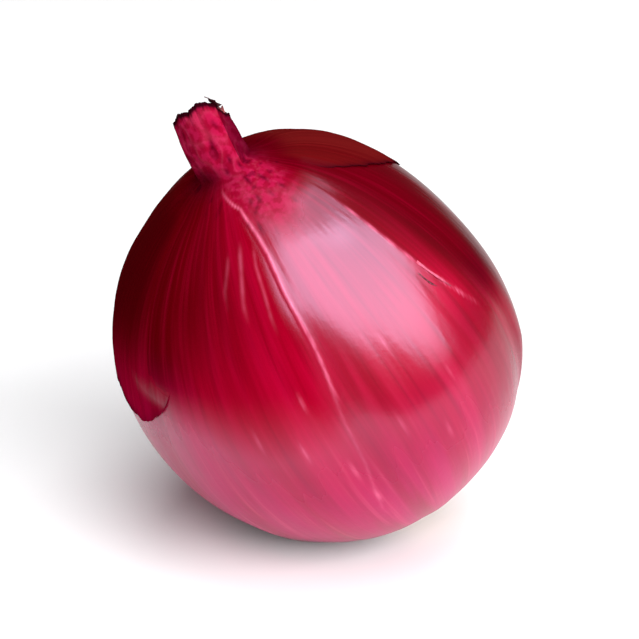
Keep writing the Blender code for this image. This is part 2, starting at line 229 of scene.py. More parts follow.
def makePiece(name, points, quads, triangles=None, marks=None, slot="red_skin", nodes=("bulb",)):
    # one mesh object from points in millimetres, its faces and its named point values
    triangles = np.empty((0, 3), int) if triangles is None else triangles
    mesh = bpy.data.meshes.new(name)
    mesh.vertices.add(len(points))
    mesh.vertices.foreach_set("co", (points * millimetre).astype(np.float32).ravel())
    corners = np.concatenate([quads.ravel(), triangles.ravel()]).astype(np.int32)
    starts = np.concatenate([np.arange(len(quads)) * 4, len(quads) * 4 + np.arange(len(triangles)) * 3])
    mesh.loops.add(len(corners))
    mesh.loops.foreach_set("vertex_index", corners)
    mesh.polygons.add(len(starts))
    mesh.polygons.foreach_set("loop_start", starts.astype(np.int32))
    mesh.update(calc_edges=True)
    mesh.validate()
    mesh.shade_smooth()
    for label, values in (marks or {}).items():
        kind = "FLOAT_VECTOR" if values.ndim == 2 else "FLOAT"
        layer = mesh.attributes.new(label, kind, "POINT")
        layer.data.foreach_set("vector" if values.ndim == 2 else "value", values.astype(np.float32).ravel())
    piece = addObject(name, mesh)
    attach(piece, "root")
    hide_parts(*nodes)
    print("onion:", name, len(quads) * 2 + len(triangles), "triangles")
    return piece


def makeShell(name, outer, inner, marks):
    # a closed sheet between two grids of points
    points = np.concatenate([outer, inner[::-1]]).reshape(-1, 3)
    return makePiece(name, points, shellFaces(*outer.shape[:2]), None, marks)


def makeTubes(name, paths, upward, widths, depths, sides, shade, at, *target):
    # tubes that each have a shade of their own and know the share of the way along
    points, quads, triangles = tubes(paths, upward, widths, depths, sides)
    marks = {"ownShade": tubeMarks(shade, sides), "alongShare": tubeMarks(at + 0.0 * shade, sides)}
    return makePiece(name, points, quads, triangles, marks, *target)


# Skin: relief and markings

skin = {
    "columns": 600, "bodyStep": 0.86, "neckStep": 0.32, "neckStepFrom": (30, 38),
    "ribs": ((11, 0.6, 0.07), (17, 2.1, 0.045), (23, 4, 0.03)),
    "nerves": 0.004, "dents": 0.09, "ridgeAngle": 323, "ridgeSweep": 22, "ridgeCentre": 25, "ridgeSpan": 30,
    "ridgeSize": 0.65, "ridgeWidth": 9, "ridgeLow": 0.3, "ridgeFades": (-5, 14),
    "creaseSize": 0.08, "creaseWidth": 2, "creaseFades": (4, 16),
    "veinHeight": 0.06, "besideVeinDepth": 0.04, "recess": 0.6, "recessEdge": (4.8, 6.6),
}

# pale raised veins: points of angle and height from the neck down, half width in mm, strength
veins = (
    (((262, 36.2), (276, 34.6), (278.5, 32.8), (279.8, 31.4), (280.5, 29.4), (280.2, 27.2), (279.8, 24.2),
      (280.2, 20.8), (280.5, 17.2), (279.8, 13.6), (278.8, 10)), 0.2, 1),
    (((278.8, 11), (276.8, 4.6), (275.3, -3.2), (271.2, -13.6)), 0.22, 0.22),
    (((268.5, 31.6), (267, 30.4), (264.8, 27.8), (263, 25.2)), 0.28, 0.36),
    (((275, 30.6), (273.2, 28.8), (272.5, 25.6), (271.5, 22.4)), 0.22, 0.3),
    (((260.5, 31), (259.5, 30), (256.2, 27.4)), 0.26, 0.2),
)

# small marks: angle, height, half width and half length in mm, strength
paleSpots = (
    (262.2, 2.2, 0.25, 1.4, 0.45), (271.5, -3.8, 0.25, 1.6, 0.4), (272.8, -10.2, 0.3, 1.2, 0.5),
    (269, 9.8, 0.22, 1.1, 0.4), (299, 11.8, 0.22, 1, 0.3), (251.2, 5.8, 0.25, 1.6, 0.3),
    (310, 2, 0.22, 1.3, 0.25), (290, 0, 0.22, 1.8, 0.25), (301, -6, 0.25, 1.4, 0.25),
)
darkSpots = (
    (275.8, 41.3, 0.35, 0.6, 0.8), (293.3, 38.8, 0.32, 0.5, 0.9), (306.8, 37.5, 0.3, 0.5, 0.8),
    (278, 37.5, 0.3, 0.4, 0.6), (297.5, 36.1, 0.35, 0.45, 0.9), (311.2, 35.5, 0.35, 0.45, 0.9),
    (293, 34.5, 0.35, 0.45, 0.8), (303.5, 34.1, 0.3, 0.4, 0.6), (286.5, 34.7, 0.35, 0.35, 0.6),
    (313.8, 34, 0.35, 0.4, 0.7), (283.2, 32.2, 0.3, 0.45, 0.8), (290, 30.8, 0.3, 0.35, 0.6),
)


def veinMarks(angle, height, radius, spread=1.0, beside=0.0):
    # strength times a bell over the distance from each vein's line, faded at both ends; spread
    # widens the bell, beside moves it aside in mm
    total = 0.0
    for points, width, strength in veins:
        off = angleBetween(angle, pathLine(points, height)) * radius + beside
        top, bottom = points[0][1], points[-1][1]
        run = rising((bottom - 3.0, bottom + 2.0), height) * falling((top - 1.2, top + 0.4), height)
        lumps = 0.78 + 0.14 * np.cos(2.3 * height + top) + 0.12 * np.cos(5.1 * height + bottom)
        total = total + strength * run * lumps * bell(off, width * spread)
    return total


def spotMarks(table, angle, height, radius):
    # strength times a bell over the distance round the bulb and one over that along it
    total = 0.0
    for place, level, halfWidth, halfLength, strength in table:
        off = angleBetween(angle, radians(place)) * radius
        total = total + strength * bell(off, halfWidth) * bell(height - level, halfLength)
    return total


def ridgeOff(angle, height):
    # radians from the ridge's line, which swings to the right above and below its centre
    sweep = radians(skin["ridgeSweep"]) * ((height - skin["ridgeCentre"]) / skin["ridgeSpan"]) ** 2
    return angleBetween(angle, radians(skin["ridgeAngle"]) + sweep)


def crest(off, width):
    # exponential of minus the turn to both sides: a sharp crest, its very top rounded
    return np.exp(-np.sqrt(off ** 2 + radians(0.25) ** 2) / radians(width))


def bodyRelief(angle, height):
    # ribs and nerves along the bulb, soft dents, the ridge on the right and the raised veins
    radius = skinRadius(height)
    fade = skin["ridgeLow"] + (1.0 - skin["ridgeLow"]) * rising(skin["ridgeFades"], height)
    ridge = skin["ridgeSize"] * fade * crest(ridgeOff(angle, height), skin["ridgeWidth"])
    offVein = angleBetween(angle, pathLine(veins[0][0], height))
    crease = skin["creaseSize"] * rising(skin["creaseFades"], height) * crest(offVein, skin["creaseWidth"])
    x, y = radius * np.cos(angle), radius * np.sin(angle)
    dents = skin["dents"] * randomWaves(x / 5.5, y / 5.5, height / 7.0, 3)
    nerves = skin["nerves"] * roundWaves(angle, height, 40, 150, 5)
    return (waveSum(skin["ribs"], angle) + ridge + crease + nerves + dents
            + skin["veinHeight"] * veinMarks(angle, height, radius)
            - skin["besideVeinDepth"] * veinMarks(angle, height, radius, 1.4, 0.6))


neck = {
    "sheathEdge": 314, "sheathStep": 0.5, "sheathSoft": 4, "sheathRise": (38, 40.5),
    "creases": ((7, 1, 0.08), (12, 2, 0.04), (19, 0.3, 0.02)),
    "netSize": 0.04, "netWidth": 0.3, "netLength": 0.5, "threadWidth": 0.45,
    "rimWaves": ((1, 3.3, 0.4), (2, pi, 0.7), (5, 5.7, 0.24), (9, 0.6, 0.12), (23, 1.1, 0.06),
                 (41, 2.2, 0.04), (67, 5, 0.03)),
    "rimDepth": 3.2, "dip": (8, 34, 0.8), "peak": (292, 30, 0.6),
    "lean": (5, 50, 0.6), "leanRise": (41, 45.4),
    "hollow": 3.4, "insideRise": (0.1, 0.04, -0.5, -1.2, -2.2),
    "insideStep": (0.15, 0.32, 0.4, 0.46, 0.52, 0.62, 2.6),
}


def neckNet(angle, height):
    # random waves over the neck, longer lengthwise than round it
    radius = skinRadius(height)
    x, y = radius * np.cos(angle), radius * np.sin(angle)
    return randomWaves(x / neck["netWidth"], y / neck["netWidth"], height / neck["netLength"], 17)


def neckRelief(angle, height):
    # creases, a net of raised threads, the sheath wound round with a free edge, a leaning top
    past = (radians(neck["sheathEdge"]) - angle) % fullTurn / fullTurn
    soft = (0.0, radians(neck["sheathSoft"]) / fullTurn)
    step = neck["sheathStep"] * (0.5 - past) * rising(soft, past) * rising(soft, 1.0 - past)
    threads = bell(neckNet(angle, height), neck["threadWidth"])
    lean = bellRound(angle, neck["lean"]) * rising(neck["leanRise"], height)
    return (waveSum(neck["creases"], angle) + step * rising(neck["sheathRise"], height)
            + neck["netSize"] * (threads - 0.5) - lean)


def rimRise(angle):
    # ragged height of the cut rim, lower on the right
    return waveSum(neck["rimWaves"], angle) - bellRound(angle, neck["dip"]) + bellRound(angle, neck["peak"])


def shapedRadius(angle, radius, height):
    # the turned radius, with a fillet that is wide on the right and the relief of body and neck
    fillet = bulb["filletLow"] + bellRound(angle, bulb["filletWide"])
    swing = skinRadius(height, fillet) - skinRadius(height)
    onBody = np.where(height < 0.0, rising((9.0, 14.0), radius), falling((31.0, 38.0), height))
    onNeck = rising((34.0, 39.0), height)
    return radius + swing + onBody * bodyRelief(angle, height) + onNeck * neckRelief(angle, height)


def skinRows():
    # radius, height and length from root pole to rim, in steps that shrink on the neck
    turn = np.linspace(0.0, pi / 2.0, 3000)
    lowRadius = bulb["bellyRadius"] * np.sin(turn)
    highHeight = bulb["neckTop"] * (1.0 - np.cos(np.linspace(0.0, pi / 2.0, 5000)[1:]))
    radius = np.concatenate([lowRadius, skinRadius(highHeight)])
    height = np.concatenate([rootEndHeight(lowRadius), highHeight])
    length = runningSum(np.hypot(np.diff(radius), np.diff(height)))
    step = skin["bodyStep"] + (skin["neckStep"] - skin["bodyStep"]) * rising(skin["neckStepFrom"], height)
    count = runningSum(np.diff(length) / step[1:])
    at = np.linspace(0.0, count[-1], round(count[-1]) + 1)
    return [np.interp(at, count, values) for values in (radius, height, length)]


# areas of the skin: strength, then over which degrees past a line it grows, over which heights in
# mm it grows, and over which it ends
areas = {
    # painted shade: the sheath's band, past the ridge, left, right and under; high is the darker top with
    # painted shade, low the paler pink below with painted floor bounce
    "neck": (1, (), (35.5, 41), ()), "specks": (0.6, (), (34, 37), ()),
    "sheathBandShade": (0.9, (), (36.5, 38.5), ()), "ridgeLine": (1, (), (4, 10), (26, 31)),
    "pastRidgeShade": (1, (0, 14), (-6, 10), ()), "left": (1, (31, 55), (8, 20), ()),
    "leftLow": (1, (19, 59), (), ()), "rightLow": (1, (19, 49), (), ()),
    "right": (0.45, (20, 46), (-22, -8), (4, 12)), "high": (1, (), (8, 28), ()),
    # under: painted contact shade, the skin darker within 5.5 mm of the table
    "low": (1, (), (), (-24, 10)), "under": (0.9, (), (), (2.5, 5.5)),
    "pastVein": (1, (-2, 7), (), ()), "dullRight": (0.92, (36, 64), (), ()),
    "dullFoot": (1, (), (28.5, 34.5), ()), "dullLow": (0.55, (), (), (-8, 15)),
}

# other shades: three numbers are a row for bellRound, lifts and drops are in mm
shades = {
    "frontAngle": 281, "backTurn": (125, 178), "neckPatch": (300, 28, 7.5),
    # foot and its band place painted shade in the crease at the neck's left foot
    "speckNet": (1.5, 2.1), "speckDrop": 0.7, "foot": (235, 48, 0.8), "footShadeBand": (37.6, 1.3),
    "bandTurn": (250, 300), "rim": (-0.75, -0.35), "rimRagged": 0.05,
    "besideVein": 0.5, "besideFrom": (0.7, 1), "besideSpread": 4, "besideShare": 0.9, "lineWidth": 0.22,
    # the ridge's share is painted shade past the ridge; wedge keeps the front under the neck free of the
    # darker top and painted shade
    "rootReach": (7, 17), "rootRagged": 1.6, "ridgeShadeShare": 0.45, "wedge": (283, 30, 0.8),
    "leftDrop": 13, "rightLift": 7, "veinRise": (-10, 17), "veinLift": 14, "dullFoot": (292, 19, 2.5),
}


def area(name, height, off=0.0):
    # product of strength, growth past the line and its end on the far side, growth upwards, end
    share, turn, start, end = areas[name]
    if turn:
        share = share * rising(np.radians(turn), off) * falling(np.radians(shades["backTurn"]), off)
    if start:
        share = share * rising(start, height)
    return share * falling(end, height) if end else share


def neckShares(angle, height):
    # share of neck skin, its pale threads, and its dark marks: real specks, plus painted shade in the
    # crease at the left foot and on the band beside the sheath's edge
    net = neckNet(angle, height)
    patch = bellRound(angle, shades["neckPatch"])
    onNeck = area("neck", height + patch)
    specks = area("specks", height + shades["speckDrop"] * patch) * rising(shades["speckNet"], net)
    level, length = shades["footShadeBand"]
    foot = bellRound(angle, shades["foot"]) * bell(height - level, length)
    past = (radians(neck["sheathEdge"]) - angle) % fullTurn
    sheathBandShade = area("sheathBandShade", height) * rising(np.radians(shades["bandTurn"]), past)
    return onNeck, bell(net, neck["threadWidth"]) * onNeck, specks + foot + sheathBandShade


def lineShares(angle, height, reach):
    # pale veins, spots and the ridge's broken line, then the dark beside the main vein
    nearVein = rising(shades["besideFrom"], veinMarks(angle, height, reach, shades["besideSpread"]))
    beside = veinMarks(angle, height, reach, 1.0, shades["besideVein"]) * nearVein
    ridgeLine = bell(ridgeOff(angle, height) * reach, shades["lineWidth"]) \
        * area("ridgeLine", height) * (0.5 + 0.3 * np.cos(height * 2.1))
    pale = veinMarks(angle, height, reach) + ridgeLine + spotMarks(paleSpots, angle, height, reach)
    return pale, shades["besideShare"] * beside


def dullness(angle, height, fromFront, leftLow):
    # the largest of four areas: left of the main vein, far right, the neck's foot and low down
    pastVein = angleBetween(pathLine(veins[0][0], height), angle)
    start, full = shades["veinRise"]
    atVein = area("pastVein", height, pastVein) \
        * rising((start + shades["veinLift"] * leftLow, full), height)
    foot = area("dullFoot", height - bellRound(angle, shades["dullFoot"]))
    return np.maximum.reduce([atVein, area("dullRight", height, fromFront), foot, area("dullLow", height)])


def skinMarks(angle, radius, height, length, dry=0.0):
    # place on the skin for streaks, and shares from 0 to 1 of each colour
    angle, radius, height, length, dry = np.broadcast_arrays(angle, radius, height, length, dry)
    reach = shapedRadius(angle, radius, height)
    onNeck, threads, neckSpecksAndShade = neckShares(angle, height)
    top = bulb["neckTop"] + shades["rimRagged"] * roundWaves(angle, height, 12, 60, 4, 14, 0.0)
    pale, besideVein = lineShares(angle, height, reach)
    rootRadius = radius + shades["rootRagged"] * roundWaves(angle, height, 9, 40, 8, 18, 0.0)
    # past the ridge the skin is darkened: painted shade where it turns away from the light
    pastRidgeShade = area("pastRidgeShade", height, ridgeOff(angle, height))
    fromFront = angleBetween(angle, radians(shades["frontAngle"]))
    leftLow, rightLow = area("leftLow", height, -fromFront), area("rightLow", height, fromFront)
    # dark marks: real specks and spots, plus painted shade at the neck's foot and sheath band, past the
    # ridge, on the lower right and near the table
    dark = neckSpecksAndShade + besideVein + shades["ridgeShadeShare"] * pastRidgeShade + area("right", height, fromFront) \
        + area("under", placed(angle, reach, height)[..., 2]) + spotMarks(darkSpots, angle, height, reach)
    # the top colour: the skin's own darker top, plus painted shade on the left side and past the ridge
    high = np.maximum.reduce([area("high", height), pastRidgeShade, area("left", height, -fromFront)])
    marks = {
        "paleShare": np.clip(pale, 0.0, 1.0) * (1.0 - dry) + 0.08 * threads,
        "speckAndShadeShare": np.clip(dark, 0.0, 1.0),
        "neckShare": onNeck,
        "rimShare": rising(shades["rim"], height - top),
        "rootShare": falling(shades["rootReach"], rootRadius) * (height < 0.0),
        # the paler pink below, plus painted floor bounce, reaching higher on the left
        "lowPinkAndBounceShare": area("low", height - shades["leftDrop"] * leftLow + shades["rightLift"] * rightLow),
        "topAndShadeShare": high * (1.0 - bellRound(angle, shades["wedge"])),
        "dullShare": dullness(angle, height, fromFront, leftLow),
        "dryShare": dry,
    }
    marks = {label: values.ravel() for label, values in marks.items()}
    marks["skinPlace"] = np.stack([np.cos(angle), np.sin(angle), length / 100.0], -1).reshape(-1, 3)
    return marks


def buildSkin():
    # rows of rings from the root pole over the belly and the rim down into the neck's hollow
    radius, height, length = skinRows()
    columns = skin["columns"]
    a = (np.arange(columns) / columns * fullTurn)[None, :]
    r, h = radius[1:, None], height[1:, None]
    recess = skin["recess"] * falling(skin["recessEdge"], r) * (h < 0.0)
    shaped = shapedRadius(a, r, h)
    rimShare = rising((bulb["neckTop"] - neck["rimDepth"], bulb["neckTop"]), h)
    outer = placed(a, shaped, h, recess + rimShare * rimRise(a))
    # over the rim, down the inside and in to the axis
    insideRise = np.array([*neck["insideRise"], -neck["hollow"], -neck["hollow"] - 0.1])[:, None]
    insideStep = np.array(neck["insideStep"])[:, None]
    fade = np.clip(1.0 + insideRise / neck["hollow"], 0.0, 1.0)
    inside = placed(a, shaped[-1:] - insideStep, bulb["neckTop"] + insideRise, fade * rimRise(a))
    rings = len(outer) + len(inside)
    rootPole = placed(0.0, 0.0, height[0] + skin["recess"])
    neckPole = placed(0.0, 0.0, bulb["neckTop"] + insideRise[-1, 0])
    points = np.concatenate([*outer, *inside, rootPole[None], neckPole[None]])
    points[:, 2] = np.maximum(points[:, 2], 0.0)
    ends = ((radius, bulb["neckRadius"]), (height, bulb["neckTop"]), (length, length[-1]))
    more = len(inside)
    marks = skinMarks(a, *(np.append(values[1:], [end] * more)[:, None] for values, end in ends))
    marks = {label: np.concatenate([values, values[[0, -1]]]) for label, values in marks.items()}
    return makePiece("onionSkin", points, *tubeFaces(rings, columns), marks)


onionSkin = buildSkin()


# Outermost dry skin: a thin torn sheet over the back and the left

# edge: points of angle and height; turns are in degrees and rises in mm
sheet = {
    "columns": 420, "rows": 62, "rowsGather": 1.35, "top": 38.4, "thickness": 0.22,
    "raise": 0.24, "sink": 0.25, "wrinkles": 0.02,
    "edge": ((335, 34.4), (342, 31.8), (349.2, 28.8), (359, 25.8), (367.8, 23.2), (381, 19.4),
             (395, 14), (405, 9), (420, 7), (435, 2.1), (450, -0.3), (465, 0.1),
             (480, -2.4), (495, -3.7), (510, 0.2), (530, 3.1), (541, 9.5), (551.5, 11.4),
             (559.5, 8.6), (566, 7.9), (572.2, 8.4), (577, 10.2), (582.8, 12.2), (587.8, 16.4),
             (592, 24), (598, 33)),
    "ragged": ((37, 0.4, 0.14), (61, 2.2, 0.1), (97, 5.1, 0.07), (163, 1.3, 0.05)),
    "curl": 0.05, "curlLength": 1.6, "flapAngle": 563, "flapWidth": 18, "flapCurl": 0.45,
    "startTurn": (335, 350), "frontTurn": (560, 590), "frontRise": (10, 18), "topRise": (33.5, 38),
    "dryCover": (0.45, 1), "freshTurn": (525, 560), "freshRise": (14, 27), "freshShare": 0.8,
    "lowPinkAndBounceShare": 0.7, "highLess": 0.7, "tornLength": 0.65, "tornTurn": (562, 568), "tornLess": 0.6,
    "tanPlace": (72, 88), "tanRise": (-4, 22),
}


def buildDrySkin():
    # grid of angle by share of the way up from the torn edge, offset straight out of the skin;
    # where it fades, it sinks under the skin
    angles = [row[0] for row in sheet["edge"]]
    turn = np.linspace(angles[0], angles[-1], sheet["columns"])[None, :]
    a = np.radians(turn)
    low = np.interp(turn, angles, [row[1] for row in sheet["edge"]]) + waveSum(sheet["ragged"], a)
    share = (np.linspace(0, 1, sheet["rows"]) ** sheet["rowsGather"])[:, None]
    h = low + (sheet["top"] - low) * share
    front = rising(sheet["frontTurn"], turn) * rising(sheet["frontRise"], h)
    cover = (1.0 - front) * falling(sheet["topRise"], h) * rising(sheet["startTurn"], turn)
    fromEdge = h - low
    flap = sheet["flapCurl"] * bell(turn - sheet["flapAngle"], sheet["flapWidth"])
    curl = (sheet["curl"] * (0.6 + 0.4 * roundWaves(a, h, 5, 22, 31, 12, 0.0)) + flap) \
        * np.exp(-fromEdge / sheet["curlLength"]) * cover
    wrinkles = sheet["wrinkles"] * roundWaves(a, h, 60, 170, 12, 20, 0.004) * cover
    outward = (sheet["raise"] + sheet["sink"]) * cover - sheet["sink"] + curl + wrinkles
    inward = outward - sheet["thickness"] * (0.35 + 0.65 * rising((0.0, 0.8), fromEdge))
    radius = shapedRadius(a, skinRadius(h), h)
    across, up = skinOutward(h)
    outer, inner = (placed(a, radius + off * across, h + off * up) for off in (outward, inward))
    _, rowHeight, rowLength = skinRows()
    both = (h, np.interp(h, rowHeight, rowLength), rising(sheet["dryCover"], cover), fromEdge)
    h, length, dry, fromEdge = (np.concatenate([grid, grid[::-1]]) for grid in both)
    fresh = sheet["freshShare"] * rising(sheet["freshTurn"], turn) * falling(sheet["freshRise"], h)
    marks = skinMarks(a, skinRadius(h), h, length, dry * (1.0 - fresh))
    marks["mattShare"] = dry.ravel()
    marks["lowPinkAndBounceShare"] *= sheet["lowPinkAndBounceShare"]
    marks["topAndShadeShare"] *= (1.0 - sheet["highLess"] * fresh).ravel()
    lessTorn = 1.0 - sheet["tornLess"] * rising(sheet["tornTurn"], turn)
    marks["tornShare"] = (np.exp(-fromEdge / sheet["tornLength"]) * lessTorn).ravel()
    middle, width = np.radians(sheet["tanPlace"])
    farSide = np.exp(-(angleBetween(a, middle) / width) ** 4)
    marks["tanShare"] = (farSide * rising(sheet["tanRise"], h)).ravel()
    return makeShell("drySkin", outer, inner, marks)


drySkin = buildDrySkin()


# Dried sheaths rolled up inside the cut neck, and loose bits of skin

sheaths = {
    "radius": (3.45, 0.7), "turns": 2.6, "start": 300, "columns": 300, "rows": 10, "thickness": 0.17,
    "depth": 3.3, "top": (-0.25, -1.3), "waves": 0.22, "wobble": 0.09,
}

# loose bits: points of angle, height and lift, half width at the foot, darkness (over 1: all dark)
loose = (
    (((320, 45.2, 0), (315, 46.1, 0.05), (308, 46.8, 0.05), (300, 47.3, 0.1)), 0.85, 1.7),
    (((325, 16.6, 0.05), (325.4, 14.8, 0.2), (326.4, 13, 0.25), (328, 10.6, 0.1)), 0.24, 0),
    (((322.4, 15.6, 0.02), (322.6, 14.4, 0.1), (323.2, 13.2, 0.1), (324.4, 12, 0.02)), 0.2, 1.2),
    (((150, 44.6, 0), (146, 45, 0.1), (140, 45.3, 0.3), (133, 45.4, 0.6)), 0.35, 1.7),
)


def buildSheaths():
    # a spiral that winds inwards, with a ragged top that sinks towards the middle
    share = np.linspace(0, 1, sheaths["columns"])[None, :]
    a = radians(sheaths["start"]) + share * sheaths["turns"] * fullTurn
    rise = np.linspace(0, 1, sheaths["rows"])[:, None]
    wave = sheaths["waves"] * roundWaves(a, rise, 3, 30, 21, 16, 0.0)
    top, base = (first + (last - first) * share for first, last in (sheaths["top"], sheaths["radius"]))
    level = bulb["neckTop"] + (top + wave) * rise - sheaths["depth"] * (1.0 - rise)
    radius = base + sheaths["wobble"] * roundWaves(a, 3.0 * rise, 4, 16, 22, 12, 0.15)
    outer, inner = (placed(a, radius - off, level) for off in (0.0, sheaths["thickness"]))
    both = np.concatenate([rise, rise[::-1]]) + 0.0 * a
    marks = {"alongShare": both.ravel(), "ownShade": (share + 0.0 * both).ravel()}
    return makeShell("neckSheaths", outer, inner, marks)


def buildLoose():
    # thin pointed strips along a path over the skin, lifted off it
    steps = 14
    at = np.linspace(0, 1, steps)
    paths, wide, shade = [], [], []
    for points, halfWidth, dark in loose:
        table = np.array(points)
        where = np.linspace(0, 1, len(table))
        turn, level, lift = (np.interp(at, where, table[:, k]) for k in range(3))
        a = np.radians(turn)
        under = np.minimum(level, bulb["neckTop"])
        across, up = skinOutward(under)
        radius = shapedRadius(a, skinRadius(under), under) + lift * across - 0.1
        paths.append(placed(a, radius, under + lift * up, np.maximum(level - bulb["neckTop"], 0.0)))
        wide.append(halfWidth * (1.0 - at ** 2) ** 0.5 * (0.75 + 0.25 * np.cos(9.0 * at)) + 0.03)
        shade.append(np.full(steps, dark))
    paths, wide, shade = (np.array(values) for values in (paths, wide, shade))
    away = paths - np.array([0.0, 0.0, lying["bellyHeight"]])
    return makeTubes("looseBits", paths, away, wide, 0.0 * wide + 0.07, 8, shade, at)


neckSheaths = buildSheaths()
looseBits = buildLoose()
print("onion: skins made")


# Root end: corky disc, pale torn fringe of skin ends and dried root stubs

rootEnd = {
    "discRadius": 6.3, "discCrown": 1.1, "discSink": 0.55, "discBack": 1.1,
    "discColumns": 200, "discRows": 46, "pits": 0.16, "pitSize": 0.14, "lumps": 0.2, "lumpSize": 0.42,
    "fringeSeed": 6, "stubSeed": 11, "stubs": 130, "stubField": 5.5, "stubLength": (1.2, 3.2),
    "stubWidth": (0.15, 0.34), "stubTilt": (2, 22), "stubSplay": 38,
}

rootTarget = ("root_tan", ("root_plate",))

# layers of teeth: count, inner and least and most outer radius, depth under the skin, half width
fringeLayers = (
    (40, 5, 7.2, 9.8, 0.1, 0.55), (34, 4.7, 6.6, 8.6, 0.32, 0.5), (26, 4.6, 5.8, 7.4, 0.5, 0.42))


def keptAbove(points, least):
    # points that come near the surface are eased to stay over it
    soft, low = 0.6, points[..., 2] - least
    eased = np.where(low < soft, soft * np.exp(np.minimum(low / soft - 1.0, 0.0)), low)
    return np.concatenate([points[..., :2], (eased + least)[..., None]], -1)


def buildRootDisc():
    # low dome with lumps and pits, its edge rounded over and its back flat inside the skin
    rim, crown, columns = rootEnd["discRadius"], rootEnd["discCrown"], rootEnd["discColumns"]
    face = float(rootEndHeight(rim)) - rootEnd["discSink"]
    a = (np.arange(columns) / columns * fullTurn)[None, :]
    share = np.linspace(0.02, 1.0, rootEnd["discRows"])[:, None]
    r = rim * share
    x, y = r * np.cos(a), r * np.sin(a)
    lumps, grain = (randomWaves(x / size, y / size, 0.0 * x, seed)
                    for size, seed in ((rootEnd["lumpSize"], 41), (rootEnd["pitSize"], 42)))
    pits = rootEnd["pits"] * (rising((0.6, 1.6), grain) - 0.3 * bell(grain, 0.4))
    level = face - crown * (1.0 - share ** 2) + (rootEnd["lumps"] * lumps + pits) * (1.0 - share ** 6)
    level = level + 0.5 * rising((0.9, 1.0), share) ** 2
    front = placed(a, r, level)
    backFace = face + rootEnd["discBack"]
    back = placed(a, np.array([rim, rim * 0.5])[:, None], backFace)
    poles = placed(0.0, 0.0, np.array([face - crown, backFace]))
    points = keptAbove(np.concatenate([*front, *back, poles]), 0.1)
    pitted = np.concatenate([rising((0.3, 1.3), grain).ravel(), np.zeros(2 * columns + 2)])
    faces = tubeFaces(len(front) + len(back), columns)
    return makePiece("rootDisc", points, *faces, {"pitShare": pitted}, *rootTarget)


def buildFringe():
    # flat pointed teeth that lie on the skin round the disc, their tips lifted and curled
    draw = np.random.default_rng(rootEnd["fringeSeed"])
    at = np.linspace(0, 1, 12)[None, :]
    paths, wide, shade = [], [], []
    for count, inner, shortest, longest, under, halfWidth in fringeLayers:
        turn = ((np.arange(count) + draw.uniform(-0.3, 0.3, count)) / count * fullTurn)[:, None]
        reach = draw.uniform(shortest, longest, count)[:, None]
        swing = draw.normal(0.0, 0.09, count)[:, None]
        lift = draw.uniform(0.0, 0.55, count)[:, None]
        r = inner + (reach - inner) * at
        level = rootEndHeight(r) - under - lift * at ** 3
        paths.append(keptAbove(placed(turn + swing * at ** 2, r, level), 0.2))
        half = halfWidth * draw.uniform(0.7, 1.25, count)[:, None]
        wide.append(half * (1.0 - at ** 1.6) ** 0.9 * (1.0 + 0.15 * np.cos(11.0 * at + 9.0 * turn)) + 0.02)
        shade.append(draw.uniform(0.0, 1.0, count)[:, None] + 0.0 * at)
    paths, wide, shade = (np.concatenate(values) for values in (paths, wide, shade))
    downward = placed(0.0, 0.0, -40.0) - placed(0.0, 0.0, -30.0)
    return makeTubes("rootFringe", paths, downward, wide, 0.0 * wide + 0.06, 8, shade, at, *rootTarget)


def buildStubs():
    # dried roots from a sunflower pattern on the disc: bent, wavy, tapered tubes that splay out
    draw = np.random.default_rng(rootEnd["stubSeed"])
    count, goldenTurn = rootEnd["stubs"], pi * (3.0 - sqrt(5.0))
    at = np.linspace(0, 1, 12)[None, :]
    spread = np.sqrt((np.arange(count) + 0.5) / count)[:, None]
    turn = (np.arange(count) * goldenTurn)[:, None] + draw.uniform(-0.15, 0.15, (count, 1))
    tilt = np.radians(draw.uniform(*rootEnd["stubTilt"], (count, 1)) + rootEnd["stubSplay"] * spread)
    size = draw.uniform(*rootEnd["stubLength"], (count, 1))
    side = turn + draw.uniform(0.0, fullTurn, (count, 1))
    bow = draw.uniform(0.1, 0.45, (count, 1)) * size * at ** 2
    wobble = 0.08 * np.sin(at * draw.uniform(5.0, 12.0, (count, 1)) + side)
    away = rootEnd["stubField"] * spread + size * at * np.sin(tilt)
    level = (float(rootEndHeight(rootEnd["discRadius"])) - 0.3 - rootEnd["discCrown"] * (1.0 - spread ** 2)
             - size * at * np.cos(tilt) + 0.25 * bow)
    x, y = (away * part(turn) + (bow + wobble) * part(side) for part in (np.cos, np.sin))
    paths = keptAbove(placed(np.arctan2(y, x), np.hypot(x, y), level), 0.35)
    width = draw.uniform(*rootEnd["stubWidth"], (count, 1)) * (1.0 - 0.55 * at)
    width = width * (1.0 + 0.12 * np.sin(23.0 * at + side))
    shade = draw.uniform(0.0, 1.0, (count, 1)) + 0.0 * at
    slanted = np.array([0.3, -0.8, 0.52])
    return makeTubes("rootStubs", paths, slanted, width, width * 0.8, 9, shade, at, *rootTarget)


rootDisc = buildRootDisc()
rootFringe = buildFringe()
rootStubs = buildStubs()
print("onion: root end made")


# Materials

def linear(red, green, blue):
    # a colour from its eight-bit values
    return [((value / 255 + 0.055) / 1.055) ** 2.4 if value > 10 else value / 255 / 12.92
            for value in (red, green, blue)] + [1.0]


def setInputs(node, inputs):
    # each input is linked to a socket or given a value of its own
    for name, value in inputs.items():
        if isinstance(value, bpy.types.NodeSocket):
            node.id_data.links.new(value, node.inputs[name])
        else:
            node.inputs[name].default_value = value


def addNode(tree, kind, inputs, **settings):
    made = tree.nodes.new("ShaderNode" + kind)
    for name, value in settings.items():
        setattr(made, name, value)
    setInputs(made, inputs)
    return made


# Each node goes into the tree of the first socket given

def mixed(share, low, high):
    # low where share is 0 and high where it is 1; colours or links
    return addNode(share.id_data, "Mix", {0: share, 6: low, 7: high}, data_type="RGBA").outputs[2]


